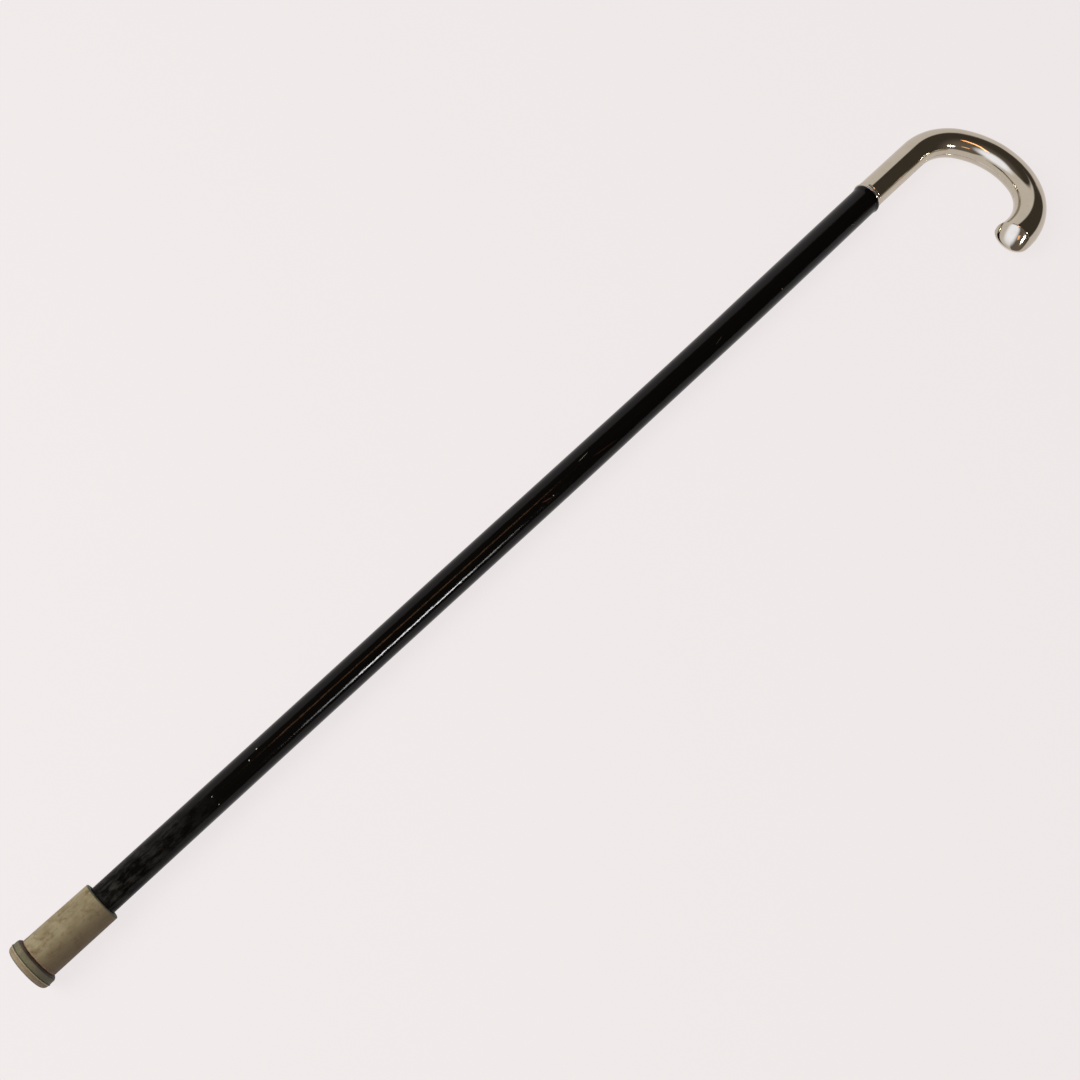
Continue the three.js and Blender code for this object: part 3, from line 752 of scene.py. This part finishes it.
own_colour = add(paper_tree, "ShaderNodeEmission", {"Color": linear(ground_colour), "Strength": 1})
sheet = add(paper_tree, "ShaderNodeMixShader", {0: glow, 1: matt, 2: own_colour})
add(paper_tree, "ShaderNodeOutputMaterial", {"Surface": sheet})
ground_mesh.materials.append(paper)

# The room: pale all round at the level of the ground. What the silver and the lacquer mirror above
# that is a dark ceiling, a dark side on the nose's side, which narrows towards the ground, and the
# soft glow of a window. On all that is matt the room gives an even, dim light.
glow_colour = (1.5, 1.6, 1.95, 1)
window_aim = (165, 53)
window_inner = 12
window_outer = 31
ceiling_start = 0.7
ceiling_full = 0.79
ground_line = -0.02
ground_clear = 0.1
side_drop = 0.33
side_limit = 0.29
side_blur = 0.06
paler_start = 0.2
paler_full = -0.5
matt_room_strength = 0.4
world = bpy.data.worlds.new("photographer's room")
bpy.context.scene.world = world
world.use_nodes = True
room = world.node_tree
room.nodes.clear()
toward = add(room, "ShaderNodeTexCoord").outputs["Generated"]
toward_parts = add(room, "ShaderNodeSeparateXYZ", {0: toward}).outputs


def direction(azimuth, polar):
    """A direction from its angles: azimuth from +X towards +Y, and polar down from straight up."""
    return Euler((0, math.radians(polar), math.radians(azimuth))).to_matrix() @ Vector((0, 0, 1))


def eased_share(value, none, full):
    """A share of the room that rises smoothly as a value goes from none to full."""
    return add(room, "ShaderNodeMapRange", {
        "Value": value, "From Min": none, "From Max": full}, interpolation_type="SMOOTHSTEP")


ceiling = eased_share(toward_parts["Z"], ceiling_start, ceiling_full)
off_ground = eased_share(toward_parts["Z"], ground_line, ground_clear)
side_edge = add(room, "ShaderNodeMath", {0: toward_parts["Z"], 1: side_drop}, operation="SUBTRACT")
side_edge = add(room, "ShaderNodeMath", {0: side_edge, 1: side_limit}, operation="MINIMUM")
past_edge = add(room, "ShaderNodeMath", {0: toward_parts["Y"], 1: side_edge}, operation="SUBTRACT")
nose_side = eased_share(past_edge, side_blur, -side_blur)
dark_side = add(room, "ShaderNodeMath", {0: off_ground, 1: nose_side}, operation="MULTIPLY")
dark_share = add(room, "ShaderNodeMath", {0: ceiling, 1: dark_side}, operation="MAXIMUM")
dark_tone = add(room, "ShaderNodeMix", {
    0: eased_share(toward_parts["X"], paler_start, paler_full),
    6: linear("#48423c"), 7: linear("#797068")}, data_type="RGBA")
mirrored_tone = add(room, "ShaderNodeMix", {
    0: dark_share, 6: linear(ground_colour), 7: dark_tone}, data_type="RGBA")
window_cosine = add(room, "ShaderNodeVectorMath", {
    0: toward, 1: direction(*window_aim)}, operation="DOT_PRODUCT").outputs["Value"]
window_share = eased_share(
    window_cosine, math.cos(math.radians(window_outer)), math.cos(math.radians(window_inner)))
mirrored_tone = add(room, "ShaderNodeMix", {
    0: window_share, 6: mirrored_tone, 7: glow_colour}, data_type="RGBA")
room_rays = add(room, "ShaderNodeLightPath")
plain_room = add(room, "ShaderNodeBackground", {
    "Color": linear("#efece8"), "Strength": matt_room_strength})
mirrored = add(room, "ShaderNodeBackground", {"Color": mirrored_tone, "Strength": 1})
backdrop = add(room, "ShaderNodeBackground", {"Color": linear(ground_colour), "Strength": 1})
for_gloss = add(room, "ShaderNodeMixShader", {
    0: room_rays.outputs["Is Glossy Ray"], 1: plain_room, 2: mirrored})
for_camera = add(room, "ShaderNodeMixShader", {
    0: room_rays.outputs["Is Camera Ray"], 1: for_gloss, 2: backdrop})
add(room, "ShaderNodeOutputWorld", {"Surface": for_camera})

# The lamps: a large soft box high beyond the ferrule lights what is matt and isn't mirrored. The
# other four show only as reflections: a small bright lamp low beside the shaft, a wider and dimmer
# one behind it, and two warm ones, which give the lacquer and the silver their brown lights.
lamps = [
    # name, place, aim, way its width runs, width and height, all in mm on the stick's axes,
    # colour, radiance, whether its light shows on the matt and whether on the glossy
    ("soft_box", (-504, 558, 1390), (800, -50, 0), (0.423, 0.906, 0), 1222, 1377, "#ffffff", 6, 1, 0),
    ("side_lamp", (432, -690, 350), (297, 0, 0), (1, 0, 0), 170, 85, "#ffffff", 54, 0, 1),
    ("side_glow", (432, -700, 355), (297, 0, 0), (1, 0, 0), 330, 85, "#ffffff", 14, 0, 1),
    ("warm_strip", (500, -100, 1000), (500, -100, 0), (0.934, -0.358, 0), 560, 85, "#ffb67c", 4, 0, 1),
    ("warm_lamp", (-71, -553, 654), (800, -50, 0), (0.5, -0.866, 0), 210, 125, "#ffc080", 1.4, 0, 1),
]
for name, place, aim, run, width, height, colour, radiance, on_matt, on_gloss in lamps:
    lamp = bpy.data.lights.new(name, "AREA")
    lamp.shape = "RECTANGLE"
    lamp.size, lamp.size_y = width * mm, height * mm
    lamp.energy = radiance * math.pi * lamp.size * lamp.size_y
    lamp.color = linear(colour)[:3]
    stand = bpy.data.objects.new(name, lamp)
    bpy.context.scene.collection.objects.link(stand)
    back = (Vector(place) - Vector(aim)).normalized()
    wide = (Vector(run) - back * back.dot(Vector(run))).normalized()
    set_up = Matrix((wide, back.cross(wide), back)).transposed().to_4x4()
    set_up.translation = Vector(place) * mm
    stand.matrix_world = stick_axes @ set_up
    stand.visible_diffuse, stand.visible_glossy = on_matt, on_gloss

# The camera: high above the ferrule's half of the stick, a little to the nose's side, looking steeply
# down along it towards the handle.
camera_place = Vector((-0.2965634, -0.2150407, 0.8197272))
camera_forward = Vector((0.29310784, 0.27476066, -0.91574801))
camera_up = Vector((0.65391771, 0.64113507, 0.40166843))
lens = bpy.data.cameras.new("camera")
lens.sensor_width = 36
lens.lens = 44.89
camera = bpy.data.objects.new("camera", lens)
bpy.context.scene.collection.objects.link(camera)
camera_right = camera_forward.cross(camera_up)
camera_axes = Matrix((camera_right, camera_up, -camera_forward)).transposed().to_4x4()
camera_axes.translation = camera_place
camera.matrix_world = camera_axes
bpy.context.scene.camera = camera
bpy.context.scene.view_settings.view_transform = "Standard"
